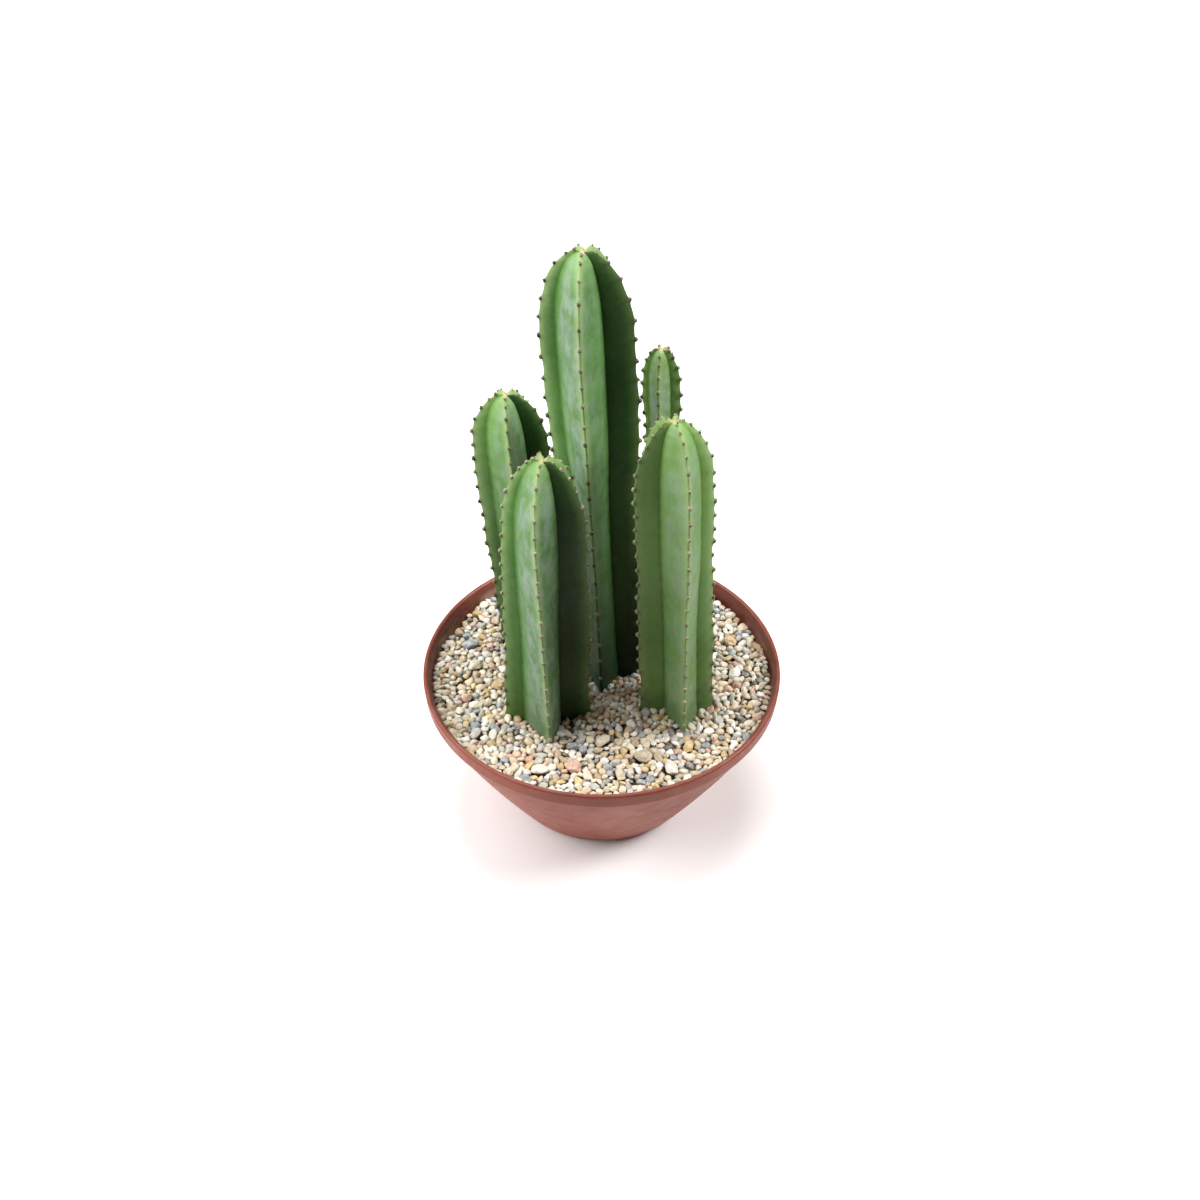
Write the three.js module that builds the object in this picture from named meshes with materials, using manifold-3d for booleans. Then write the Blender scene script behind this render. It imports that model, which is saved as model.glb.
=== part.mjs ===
// Potted cactus: five ribbed columnar stems in a shallow clay-coloured bowl of potting soil,
// under a top dressing of mixed gravel.  Millimetres, +Z up, front at -Y.
// The origin is the centre of the bowl's foot, on the surface that the bowl stands on.

import * as THREE from 'three';
import { mergeVertices } from 'three/addons/utils/BufferGeometryUtils.js';
import Module from 'manifold-3d';

// Bowl
const RIM_RADIUS = 125;
const POT_HEIGHT = 112;
const RIM_BAND = 11;
const RIM_STEP = 1.4;
const RIM_FLARE = 0.8;
const RIM_STEP_HEIGHT = 1;
const WALL_BASE_RADIUS = 67.5;
const WALL_BULGE = 1.8;
const WALL_THICKNESS = 3;
const HEEL_HEIGHT = 5.5;
const FOOT_OUTER = 62.5;
const FOOT_INNER = 55.5;
const FOOT_BEVEL = 1;
const RECESS_SLOPE = 1.5;
const FLOOR_UNDERSIDE = 3.5;
const FLOOR_TOP = 6.5;
const FLOOR_FILLET = 4;
const WALL_RINGS = 6;
const DRAIN_RADIUS = 5;
const DRAIN_CIRCLE = 40;
const DRAIN_COUNT = 6;
const DRAIN_SIDES = 16;

// The rounded lip, from its outer edge over the top to its inner edge: how far each point lies in
// from the rim's widest radius, and how far below the top.
const LIP = [[0, 1.8], [0.7, 0.4], [1.7, 0], [2.9, 0.5], [3.4, 1.6]];

// Filling
const CLEARANCE = 0.3;
const SOCKET_CLEARANCE = 0.6;
const STEM_SOCKET_CLEARANCE = 0.45;
const SHARPEST_MITRE = 0.5;
const SOIL_TOP = 84;
const GRAVEL_TOP = 101;
const GRAVEL_WAVE = 0.9;
const WAVE_ACROSS = 17;
const WAVE_DEEP = 21;
const WAVE_DIAGONAL = 33;
const GRAVEL_RINGS = 7;
const SOIL_WALL_RINGS = 4;

// Stems: where each leaves the gravel, how far its tip leans, its height above the gravel, its
// crest radius at the gravel and at the shoulder, the share of the height where it has swollen to
// the shoulder radius, the length of its domed tip, how its ribs are turned at the gravel and
// further turned at the tip, in degrees from the front towards +X, and the furrows to the right and
// left of its front rib: an azimuth from the front crest, and a radius as a share of the crest's.
const STEMS = [
  { name: 'stem_tall', at: [4.5, 9], lean: [-16, 0], height: 345,
    foot: 27, shoulder: 32.3, swell: 0.66, dome: 54, turn: -10, twist: 2,
    furrowRight: [64, 0.36], furrowLeft: [278, 0.6] },
  { name: 'stem_front_left', at: [-37, -36], lean: [0, 0], height: 222,
    foot: 31, shoulder: 30.5, swell: 0.6, dome: 58, turn: 4, twist: -18,
    furrowRight: [62, 0.36], furrowLeft: [277, 0.62] },
  { name: 'stem_front_right', at: [52, -29], lean: [-8, 0], height: 247,
    foot: 27.5, shoulder: 28.3, swell: 0.6, dome: 50, turn: 9, twist: 14,
    furrowRight: [66, 0.6], furrowLeft: [284, 0.38] },
  { name: 'stem_back_left', at: [-50, 46], lean: [-13, 0], height: 213,
    foot: 24, shoulder: 27.5, swell: 0.5, dome: 42, turn: 12, twist: -12,
    furrowRight: [62, 0.4], furrowLeft: [280, 0.58] },
  { name: 'stem_back_right', at: [46, 39], lean: [-8, 0], height: 254,
    foot: 13.5, shoulder: 14.5, swell: 0.6, dome: 28, turn: -12, twist: 0,
    furrowRight: [60, 0.5], furrowLeft: [281, 0.6] },
];
const RIB_AZIMUTHS = [0, 86, 147, 207, 268];
const BACK_FURROWS = [[117, 0.55], [177, 0.55], [237, 0.55]];
const FURROW_FOOT_SHARE = 0.85;
const FLANK_BULGE = 0.045;
const ROOT_BOTTOM = 64;
const ROOT_TAPER = 0.6;
const SWELL_SPAN = 0.3;

// Larger stones lying in the top dressing
const STONE_COUNT = 22;
const STONE_LENGTH = 12;
const STONE_LENGTH_RANGE = 4;
const STONE_WIDTH_RATIO = 0.62;
const STONE_WIDTH_RANGE = 0.2;
const STONE_THICKNESS_RATIO = 0.26;
const STONE_LUMPINESS = 0.16;
const STONE_TILT = 14;
const STONE_LIFT = 0.6;
const STONE_SPACING = 19.2;
const STONE_RING_INNER = 62;
const STONE_RING_OUTER = 108;
const STONE_ROOM = 12;
const SPIRAL_TURN = 137.5;
const SPIRAL_PLACES = 40;

// Fineness of the meshes
const ROUND_STEPS = 60;
const STEPS_PER_RIB = 6;
const SHAFT_RINGS = 8;
const DOME_RINGS = 6;

const DEGREE = Math.PI / 180;
const UP_AXIS_TURN = Math.PI / 2;

const PLASTIC = { color: 0xa9564a, roughness: 0.45, metalness: 0 };
const SOIL = { color: 0x33261d, roughness: 0.98, metalness: 0 };
const GRAVEL = { color: 0xcfc4ae, roughness: 0.85, metalness: 0 };
const STEM_GREEN = { color: 0x4f7a40, roughness: 0.5, metalness: 0 };
const STONE_COLOURS = [0xe3d9c4, 0xc9b48b, 0xaeb2b5, 0xd8b3a0, 0xefe9dc];

const wasm = await Module();
wasm.setup();

// One shared vertex at each place, and no triangle that has shrunk to a line at an axis.
function weld(geometry) {
  const bare = geometry.clone();
  bare.deleteAttribute('normal');
  bare.deleteAttribute('uv');
  const welded = mergeVertices(bare);
  const corners = welded.index.array;
  const kept = [];
  for (let i = 0; i < corners.length; i += 3) {
    const [a, b, c] = corners.subarray(i, i + 3);
    if (a !== b && b !== c && c !== a) kept.push(a, b, c);
  }
  welded.setIndex(kept);
  return welded;
}

function solidFrom(geometry) {
  const welded = weld(geometry);
  return new wasm.Manifold(new wasm.Mesh({
    numProp: 3,
    vertProperties: Float32Array.from(welded.attributes.position.array),
    triVerts: Uint32Array.from(welded.index.array),
  }));
}

function geometryFrom(solid) {
  const { vertProperties, triVerts } = solid.getMesh();
  const geometry = new THREE.BufferGeometry();
  geometry.setAttribute('position', new THREE.BufferAttribute(vertProperties, 3));
  geometry.setIndex(new THREE.BufferAttribute(triVerts, 1));
  geometry.computeVertexNormals();
  return geometry;
}

function cutAll(geometry, cutters) {
  const solid = cutters.reduce((body, cutter) => body.subtract(solidFrom(cutter)), solidFrom(geometry));
  return geometryFrom(solid);
}

function namedMesh(name, geometry, finish) {
  geometry.computeVertexNormals();
  const mesh = new THREE.Mesh(geometry, new THREE.MeshStandardMaterial(finish));
  mesh.name = name;
  return mesh;
}

// Turned solids: a profile of [radius, height] pairs about the upright axis.
// Its steps start at the front and run towards +X.
function turned(profile, steps = ROUND_STEPS) {
  const points = profile.map(([radius, height]) => new THREE.Vector2(radius, height));
  return new THREE.LatheGeometry(points, steps).rotateX(UP_AXIS_TURN);
}

// Bowl: a straight-flared wall, slightly bellied, with a stepped band under the rim.
const BAND_BOTTOM = POT_HEIGHT - RIM_BAND;

function wallRadius(height) {
  const wallTop = RIM_RADIUS - RIM_FLARE - RIM_STEP;
  const rise = (height - HEEL_HEIGHT) / (BAND_BOTTOM - HEEL_HEIGHT);
  return WALL_BASE_RADIUS + (wallTop - WALL_BASE_RADIUS) * rise + 4 * WALL_BULGE * rise * (1 - rise);
}

function innerRadius(height) {
  return wallRadius(Math.min(height, BAND_BOTTOM)) - WALL_THICKNESS;
}

function heights(from, to, count) {
  return Array.from({ length: count }, (_, i) => from + ((to - from) * i) / (count - 1));
}

function potProfile() {
  const wall = heights(HEEL_HEIGHT, BAND_BOTTOM, WALL_RINGS);
  return [
    [0, FLOOR_UNDERSIDE],
    [FOOT_INNER - RECESS_SLOPE, FLOOR_UNDERSIDE],
    [FOOT_INNER, 0],
    [FOOT_OUTER - FOOT_BEVEL, 0],
    [FOOT_OUTER, FOOT_BEVEL],
    ...wall.map((height) => [wallRadius(height), height]),
    [RIM_RADIUS - RIM_FLARE, BAND_BOTTOM + RIM_STEP_HEIGHT],
    ...LIP.map(([inset, drop]) => [RIM_RADIUS - inset, POT_HEIGHT - drop]),
    ...wall.reverse().slice(0, -1).map((height) => [innerRadius(height), height]),
    [innerRadius(FLOOR_TOP + FLOOR_FILLET), FLOOR_TOP + FLOOR_FILLET],
    [FOOT_OUTER - FOOT_BEVEL, FLOOR_TOP],
    [0, FLOOR_TOP],
  ];
}

function drainHole(x, y) {
  const height = 4 * FLOOR_TOP;
  return new THREE.CylinderGeometry(DRAIN_RADIUS, DRAIN_RADIUS, height, DRAIN_SIDES)
    .rotateX(UP_AXIS_TURN)
    .translate(x, y, 0);
}

function potBowl() {
  const holes = [drainHole(0, 0)];
  for (let i = 0; i < DRAIN_COUNT; i += 1) {
    const azimuth = (i * 2 * Math.PI) / DRAIN_COUNT;
    holes.push(drainHole(DRAIN_CIRCLE * Math.cos(azimuth), DRAIN_CIRCLE * Math.sin(azimuth)));
  }
  return namedMesh('pot_bowl', cutAll(turned(potProfile()), holes), PLASTIC);
}

// Stems: a turned profile whose round section is pressed into five ribs, leaned and twisted.
function stemRadius(stem, height) {
  const shaft = THREE.MathUtils.lerp(stem.foot, stem.shoulder, swollen(stem, height));
  const intoDome = Math.max(0, height - (GRAVEL_TOP + stem.height - stem.dome)) / stem.dome;
  return shaft * Math.sqrt(Math.max(0, 1 - intoDome * intoDome));
}

function stemProfile(stem) {
  const tip = GRAVEL_TOP + stem.height;
  const rootRadius = ROOT_TAPER * stem.foot;
  const shaft = heights(SOIL_TOP, tip - stem.dome, SHAFT_RINGS);
  const profile = [[0, ROOT_BOTTOM], [rootRadius, ROOT_BOTTOM]];
  shaft.forEach((height) => profile.push([stemRadius(stem, height), height]));
  for (let i = 1; i < DOME_RINGS; i += 1) {
    const height = tip - stem.dome * (1 - Math.sin((i / DOME_RINGS) * 90 * DEGREE));
    profile.push([stemRadius(stem, height), height]);
  }
  profile.push([0, tip]);
  return profile;
}

function swollen(stem, height) {
  const rise = (height - GRAVEL_TOP) / stem.height;
  return THREE.MathUtils.smoothstep(rise, stem.swell - SWELL_SPAN, stem.swell);
}

// Radius of a rib at a share of the way from its crest (0) to the furrow beside it (1):
// a flat flank between the two, with a slight swelling.
function ribRadius(crest, furrow, share, span) {
  const azimuth = share * span;
  const across = crest * Math.sin(azimuth) + furrow * Math.sin(span - azimuth);
  const flank = (crest * furrow * Math.sin(span)) / across;
  return flank + FLANK_BULGE * crest * Math.sin(Math.PI * share);
}

// One of the section's steps: its azimuth from the front crest, its share of the way from crest to
// furrow, the azimuth between the two, and the furrow's depth.
function sectionStep(stem, step) {
  const rib = Math.floor(step / STEPS_PER_RIB);
  const along = (2 * (step % STEPS_PER_RIB)) / STEPS_PER_RIB;
  const [furrow, depth] = [stem.furrowRight, ...BACK_FURROWS, stem.furrowLeft][rib];
  const from = RIB_AZIMUTHS[rib];
  const to = RIB_AZIMUTHS[rib + 1] ?? 360;
  return along <= 1
    ? { azimuth: from + (furrow - from) * along, share: along, span: furrow - from, depth }
    : { azimuth: furrow + (to - furrow) * (along - 1), share: 2 - along, span: to - furrow, depth };
}

// One of the section's points at a height, from its crest radius there.
function sectionPoint(stem, crest, height, step) {
  const { azimuth, share, span, depth } = sectionStep(stem, step);
  const fullness = THREE.MathUtils.lerp(FURROW_FOOT_SHARE, 1, swollen(stem, height));
  const radius = crest && ribRadius(crest, crest * depth * fullness, share, span * DEGREE);
  const climb = Math.max(0, height - GRAVEL_TOP) / stem.height;
  const heading = (azimuth + stem.turn + stem.twist * climb) * DEGREE;
  const x = stem.at[0] + stem.lean[0] * climb + radius * Math.sin(heading);
  const y = stem.at[1] + stem.lean[1] * climb - radius * Math.cos(heading);
  return new THREE.Vector2(x, y);
}

// The stem, or with growth the same stem with its section set out square to its own outline.
function stemGeometry(stem, growth = 0) {
  const profile = stemProfile(stem);
  profile[0][1] -= growth;
  profile[1][1] -= growth;
  const steps = RIB_AZIMUTHS.length * STEPS_PER_RIB;
  const geometry = turned(profile, steps);
  const spots = geometry.attributes.position;
  for (let i = 0; i < spots.count; i += 1) {
    const [crest, height] = profile[i % profile.length];
    const step = Math.floor(i / profile.length) % steps;
    const point = sectionPoint(stem, crest, height, step);
    if (growth && crest) {
      const before = sectionPoint(stem, crest, height, (step + steps - 1) % steps);
      const after = sectionPoint(stem, crest, height, (step + 1) % steps);
      const edge = point.clone().sub(before).normalize();
      const tangent = after.sub(point).normalize().add(edge).normalize();
      const mitre = Math.max(SHARPEST_MITRE, tangent.dot(edge));
      point.add(new THREE.Vector2(tangent.y, -tangent.x).multiplyScalar(growth / mitre));
    }
    spots.setXYZ(i, point.x, point.y, height);
  }
  return geometry;
}

// Gravel surface: gently uneven, with shallow waves two or three centimetres long.
function gravelHeight(x, y) {
  const crossed = Math.sin(x / WAVE_ACROSS + 1) * Math.cos(y / WAVE_DEEP);
  return GRAVEL_TOP + GRAVEL_WAVE * (crossed + Math.cos((x + y) / WAVE_DIAGONAL));
}

function gravelBlank() {
  const bottom = SOIL_TOP + CLEARANCE;
  const bottomRadius = innerRadius(bottom) - CLEARANCE;
  const topRadius = innerRadius(GRAVEL_TOP - 2 * GRAVEL_WAVE) - CLEARANCE;
  const rings = heights(topRadius, 0, GRAVEL_RINGS);
  const profile = [[0, bottom], [bottomRadius, bottom], ...rings.map((radius) => [radius, GRAVEL_TOP])];
  const geometry = turned(profile);
  const spots = geometry.attributes.position;
  for (let i = 0; i < spots.count; i += 1) {
    if (spots.getZ(i) > bottom + 1) spots.setZ(i, gravelHeight(spots.getX(i), spots.getY(i)));
  }
  return geometry;
}

function soilBlank() {
  const bottom = FLOOR_TOP + CLEARANCE;
  const bottomRadius = FOOT_OUTER - FOOT_BEVEL - CLEARANCE;
  const wall = heights(bottom + FLOOR_FILLET, SOIL_TOP, SOIL_WALL_RINGS)
    .map((height) => [innerRadius(height) - CLEARANCE, height]);
  return turned([[0, bottom], [bottomRadius, bottom], ...wall, [0, SOIL_TOP]]);
}

// Larger stones: lumpy pebbles on a spiral between the stems and the rim, sunk to their waists.
function hash(seed) {
  const value = Math.sin(seed * 127.1 + 11.7) * 43758.5453;
  return value - Math.floor(value);
}

function isClearOfStems(x, y) {
  return STEMS.every(({ at, foot }) => Math.hypot(x - at[0], y - at[1]) > foot + STONE_ROOM);
}

function stonePlaces() {
  const places = [];
  for (let i = 0; places.length < STONE_COUNT; i += 1) {
    const azimuth = i * SPIRAL_TURN * DEGREE;
    const spread = Math.sqrt((i % SPIRAL_PLACES) / SPIRAL_PLACES);
    const radius = THREE.MathUtils.lerp(STONE_RING_INNER, STONE_RING_OUTER, spread);
    const [x, y] = [radius * Math.sin(azimuth), -radius * Math.cos(azimuth)];
    const isFree = places.every((place) => Math.hypot(x - place.x, y - place.y) > STONE_SPACING);
    if (isFree && isClearOfStems(x, y)) places.push({ x, y, seed: i });
  }
  return places;
}

function stoneGeometry({ x, y, seed }, growth = 0) {
  const length = STONE_LENGTH + STONE_LENGTH_RANGE * (hash(seed) - 0.5);
  const width = (STONE_WIDTH_RATIO + STONE_WIDTH_RANGE * hash(seed + 0.3)) * length;
  const half = [length / 2, width / 2, STONE_THICKNESS_RATIO * length];
  const geometry = weld(new THREE.IcosahedronGeometry(1, 1));
  const spots = geometry.attributes.position;
  for (let i = 0; i < spots.count; i += 1) {
    const lump = 1 - STONE_LUMPINESS * hash(seed * 3.1 + i);
    const [a, b, c] = half.map((size, axis) => spots.getComponent(i, axis) * (size * lump + growth));
    spots.setXYZ(i, a, b, c);
  }
  const tilt = STONE_TILT * DEGREE * (hash(seed + 0.7) - 0.5);
  const heading = 2 * Math.PI * hash(seed + 0.9);
  return geometry.rotateX(tilt).rotateZ(heading).translate(x, y, gravelHeight(x, y) + STONE_LIFT);
}

function stoneMesh(place, index) {
  const name = `stone_${String(index + 1).padStart(2, '0')}`;
  const color = STONE_COLOURS[index % STONE_COLOURS.length];
  return namedMesh(name, stoneGeometry(place), { ...GRAVEL, color });
}

const places = stonePlaces();
const sockets = STEMS.map((stem) => stemGeometry(stem, STEM_SOCKET_CLEARANCE));
const stoneBeds = places.map((place) => stoneGeometry(place, SOCKET_CLEARANCE));

const cactus = new THREE.Group();
cactus.add(potBowl());
cactus.add(namedMesh('potting_soil', cutAll(soilBlank(), sockets), SOIL));
cactus.add(namedMesh('gravel_layer', cutAll(gravelBlank(), [...sockets, ...stoneBeds]), GRAVEL));
STEMS.forEach((stem) => cactus.add(namedMesh(stem.name, weld(stemGeometry(stem)), STEM_GREEN)));
places.forEach((place, index) => cactus.add(stoneMesh(place, index)));

export default cactus;
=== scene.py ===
"""Potted cactus: five ribbed stems in a shallow clay-red bowl, under a top dressing of gravel."""

import math

import bmesh
import bpy
import numpy as np
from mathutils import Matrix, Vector, noise
from mathutils.bvhtree import BVHTree


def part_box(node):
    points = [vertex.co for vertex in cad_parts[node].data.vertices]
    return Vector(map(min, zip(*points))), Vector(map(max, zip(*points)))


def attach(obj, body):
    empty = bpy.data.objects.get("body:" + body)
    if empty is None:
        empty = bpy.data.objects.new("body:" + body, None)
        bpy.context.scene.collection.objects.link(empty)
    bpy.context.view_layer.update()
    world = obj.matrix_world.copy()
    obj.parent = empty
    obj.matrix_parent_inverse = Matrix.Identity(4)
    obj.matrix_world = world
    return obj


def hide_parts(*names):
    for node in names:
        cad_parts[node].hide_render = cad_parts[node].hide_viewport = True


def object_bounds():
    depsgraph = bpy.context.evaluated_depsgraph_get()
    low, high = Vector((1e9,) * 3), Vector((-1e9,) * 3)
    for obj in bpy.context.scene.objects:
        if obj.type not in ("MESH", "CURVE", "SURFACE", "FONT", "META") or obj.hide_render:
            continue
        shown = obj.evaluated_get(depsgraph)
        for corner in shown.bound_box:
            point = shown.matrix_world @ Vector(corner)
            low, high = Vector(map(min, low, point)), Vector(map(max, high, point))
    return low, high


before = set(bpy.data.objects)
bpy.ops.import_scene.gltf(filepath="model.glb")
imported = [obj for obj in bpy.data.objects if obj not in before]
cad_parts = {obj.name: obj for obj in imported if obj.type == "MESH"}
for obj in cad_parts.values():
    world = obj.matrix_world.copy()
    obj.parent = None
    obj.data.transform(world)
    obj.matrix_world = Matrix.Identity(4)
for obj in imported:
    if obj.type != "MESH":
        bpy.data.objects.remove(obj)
cad_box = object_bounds()
scene = bpy.context.scene


# Camera
# It stands in front of the bowl, above the tallest stem, and looks down into the gravel.
CAMERA_DISTANCE = 1.4
CAMERA_ELEVATION = math.radians(41.5)
CAMERA_LENS = 61.66
AIM = Vector((-0.0012, 0, 0.39 * cad_box[1].z))

camera = bpy.data.objects.new("camera", bpy.data.cameras.new("camera"))
scene.collection.objects.link(camera)
camera.data.lens = CAMERA_LENS
towards_camera = Vector((0, -math.cos(CAMERA_ELEVATION), math.sin(CAMERA_ELEVATION)))
camera.location = AIM + CAMERA_DISTANCE * towards_camera
camera.rotation_euler = (-towards_camera).to_track_quat("-Z", "Y").to_euler()
scene.camera = camera


# Bowl
# A shallow flared plant bowl moulded in clay-red plastic, with a rolled lip above a stepped band,
# a foot ring and drain holes.  Hard water and handling have left it slightly chalky.
RIM_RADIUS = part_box("pot_bowl")[1].x
POT_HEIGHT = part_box("pot_bowl")[1].z
BAND_BOTTOM = POT_HEIGHT - 0.011
WALL_TOP_RADIUS = RIM_RADIUS - 0.0022
WALL_BASE_RADIUS = 0.0675
WALL_BULGE = 0.0018
WALL_THICKNESS = 0.003
HEEL_HEIGHT = 0.0055
FOOT_OUTER = 0.0625
FOOT_INNER = 0.0555
FLOOR_UNDERSIDE = 0.0035
FLOOR_TOP = 0.0065
BAND_CROWN = 0.0008
BAND_CORNER = 0.0006
BAND_RISE = 0.009
LIP_RADIUS = 0.0017
LIP_DEPTH = 0.004
FOOT_CORNER = 0.001
FLOOR_CORNER = 0.004
WALL_RINGS = 40
DRAIN_RADIUS = 0.005
DRAIN_CIRCLE = 0.04
DRAIN_COUNT = 6
POT_STEPS = 224


def colour(code):
    """The linear colour of a six-digit paint code."""
    shares = [int(code[i : i + 2], 16) / 255 for i in (0, 2, 4)]
    return (*(s / 12.92 if s <= 0.04045 else ((s + 0.055) / 1.055) ** 2.4 for s in shares), 1)


def wire(tree, socket, value):
    """Links a node's output into a socket, or sets it to a plain value or to a paint code's colour."""
    if isinstance(value, bpy.types.NodeSocket):
        tree.links.new(value, socket)
    else:
        socket.default_value = colour(value) if isinstance(value, str) else value


def add(tree, kind, inputs=(), **settings):
    """A new shader node with its settings and inputs filled in."""
    node = tree.nodes.new("ShaderNode" + kind)
    for name, value in settings.items():
        setattr(node, name, value)
    for name, value in dict(inputs).items():
        wire(tree, node.inputs[name], value)
    return node


def sums(tree, operation, first, second, clamp=False):
    """Arithmetic on two values."""
    node = add(tree, "Math", {0: first, 1: second}, operation=operation, use_clamp=clamp)
    return node.outputs[0]


def plus(tree, first, second, clamp=False):
    return sums(tree, "ADD", first, second, clamp)


def minus(tree, first, second):
    return sums(tree, "SUBTRACT", first, second)


def times(tree, first, second, clamp=False):
    return sums(tree, "MULTIPLY", first, second, clamp)


def between(tree, value, low, high, to_low=0.0, to_high=1.0):
    """A value carried smoothly from one range to another and held at its ends."""
    node = add(tree, "MapRange", interpolation_type="SMOOTHSTEP")
    for socket, part in zip(node.inputs, (value, low, high, to_low, to_high)):
        wire(tree, socket, part)
    return node.outputs[0]


def blend(tree, share, first, second, how="MIX"):
    """Two colours blended by a share."""
    node = add(tree, "Mix", data_type="RGBA", blend_type=how)
    for index, part in ((0, share), (6, first), (7, second)):
        wire(tree, node.inputs[index], part)
    return node.outputs[2]


def clouds(tree, size, detail=3.0, stretch=(1, 1, 1), roughness=0.55, distortion=0.0):
    """Cloudy noise from 0 to 1, with its largest patches about one size across, in metres."""
    place = add(tree, "TexCoord").outputs["Object"]
    if stretch != (1, 1, 1):
        place = add(tree, "Mapping", {"Vector": place, "Scale": stretch}).outputs[0]
    inputs = {"Vector": place, "Scale": 1 / size, "Detail": detail}
    inputs |= {"Roughness": roughness, "Distortion": distortion}
    return add(tree, "TexNoise", inputs).outputs[0]


def patchy(tree, size, low=0.3, high=0.7, to_low=0.0, to_high=1.0, **cloud):
    """Soft-edged patches about one size across, where cloudy noise passes from low to high."""
    return between(tree, clouds(tree, size, **cloud), low, high, to_low, to_high)


def dress(tree, surface, tint, height, depth, strength=1.0):
    """Colours a surface, and bumps it by a height of 0 to 1, as deep as the given metres."""
    wire(tree, surface.inputs["Base Color"], tint)
    bumps = add(tree, "Bump", {"Height": height, "Distance": depth, "Strength": strength})
    wire(tree, surface.inputs["Normal"], bumps.outputs[0])


def new_group(name, inputs, outputs):
    """An empty shader node group, with its inputs as sockets to read and outputs to wire."""
    group = bpy.data.node_groups.new(name, "ShaderNodeTree")
    for label, kind, default in inputs:
        socket = group.interface.new_socket(label, in_out="INPUT", socket_type="NodeSocket" + kind)
        socket.default_value = default
    for label, kind in outputs:
        group.interface.new_socket(label, in_out="OUTPUT", socket_type="NodeSocket" + kind)
    given = group.nodes.new("NodeGroupInput").outputs
    return group, given, group.nodes.new("NodeGroupOutput").inputs


def new_finish(name, roughness=0.5, coat=0.0):
    """A new material with its node tree and its surface shader."""
    material = bpy.data.materials.new(name)
    material.use_nodes = True
    surface = material.node_tree.nodes["Principled BSDF"]
    surface.inputs["Roughness"].default_value = roughness
    surface.inputs["Coat Weight"].default_value = coat
    return material, material.node_tree, surface


def make_piece(name, points, faces, finish, slot, *nodes, readings=()):
    """A smooth-shaded mesh piece that rides with the pot and stands for the given CAD nodes.

    Each reading holds a value for each of its points, for its finish to read.
    """
    mesh = bpy.data.meshes.new(name)
    mesh.from_pydata(np.asarray(points).tolist(), [], [list(face) for face in faces])
    mesh.validate()
    mesh.shade_smooth()
    mesh.materials.append(finish)
    for label, values in dict(readings).items():
        layer = mesh.attributes.new(label, "FLOAT", "POINT")
        layer.data.foreach_set("value", np.asarray(values, np.float32))
    piece = bpy.data.objects.new(name, mesh)
    scene.collection.objects.link(piece)
    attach(piece, "root")
    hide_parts(*nodes)


def tube_faces(rings, columns):
    """Faces of a tube of rings of points, closed by a fan at each end."""
    first = np.arange(rings - 1)[:, None] * columns
    around = np.arange(columns)[None, :]
    after = (around + 1) % columns
    above = first + columns
    quads = np.stack([first + around, first + after, above + after, above + around], axis=-1)
    root, tip, top = rings * columns, rings * columns + 1, (rings - 1) * columns
    faces = quads.reshape(-1, 4).tolist()
    faces += [[root, (k + 1) % columns, k] for k in range(columns)]
    faces += [[tip, top + k, top + (k + 1) % columns] for k in range(columns)]
    return faces


def lathe(profile, steps):
    """Points and faces of a profile turned about the upright axis, closed at both ends on it."""
    radius, height = np.array(profile[1:-1]).T
    turns = np.arange(steps) * 2 * math.pi / steps
    across, deep = np.outer(radius, np.sin(turns)), -np.outer(radius, np.cos(turns))
    up = np.broadcast_to(height[:, None], across.shape)
    points = np.stack([across, deep, up], axis=-1).reshape(-1, 3)
    points = np.vstack([points, [0, 0, profile[0][1]], [0, 0, profile[-1][1]]])
    return points, tube_faces(len(radius), steps)


def wall_radius(height):
    rise = (height - HEEL_HEIGHT) / (BAND_BOTTOM - HEEL_HEIGHT)
    flare = WALL_BASE_RADIUS + (WALL_TOP_RADIUS - WALL_BASE_RADIUS) * rise
    return flare + 4 * WALL_BULGE * rise * (1 - rise)


def arc(centre, radius, start, end, count):
    """Points on a quarter or half circle in the profile's plane, angles in degrees from outwards."""
    turns = np.radians(np.linspace(start, end, count))
    return [(centre[0] + radius * math.cos(t), centre[1] + radius * math.sin(t)) for t in turns]


def bowl_profile():
    outside = np.linspace(HEEL_HEIGHT, BAND_BOTTOM - 0.0004, WALL_RINGS)
    inside = np.linspace(POT_HEIGHT - LIP_DEPTH, FLOOR_TOP + FLOOR_CORNER, WALL_RINGS)
    band = (0.3, 0.6, 0.9)
    band_foot = RIM_RADIUS - BAND_CROWN
    lip_centre = (RIM_RADIUS - LIP_RADIUS, POT_HEIGHT - LIP_RADIUS)
    floor = np.linspace(0.012, FOOT_INNER - 0.0015, 8)
    return [
        (0, FLOOR_UNDERSIDE),
        *[(radius, FLOOR_UNDERSIDE) for radius in floor],
        (FOOT_INNER, 0.0004),
        (FOOT_INNER + 0.0005, 0),
        *arc((FOOT_OUTER - FOOT_CORNER, FOOT_CORNER), FOOT_CORNER, -90, 0, 6),
        *[(wall_radius(height), height) for height in outside],
        *arc((band_foot - BAND_CORNER, BAND_BOTTOM + BAND_CORNER), BAND_CORNER, -90, 0, 5),
        *[(band_foot + BAND_CROWN * math.sin(t), BAND_BOTTOM + BAND_RISE * t) for t in band],
        *arc(lip_centre, LIP_RADIUS, 0, 180, 13),
        *[(wall_radius(min(height, BAND_BOTTOM)) - WALL_THICKNESS, height) for height in inside],
        *arc((FOOT_OUTER - FOOT_CORNER, FLOOR_TOP + FLOOR_CORNER), FLOOR_CORNER, -20, -88, 6),
        *[(radius, FLOOR_TOP) for radius in floor[::-1]],
        (0, FLOOR_TOP),
    ]


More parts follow.
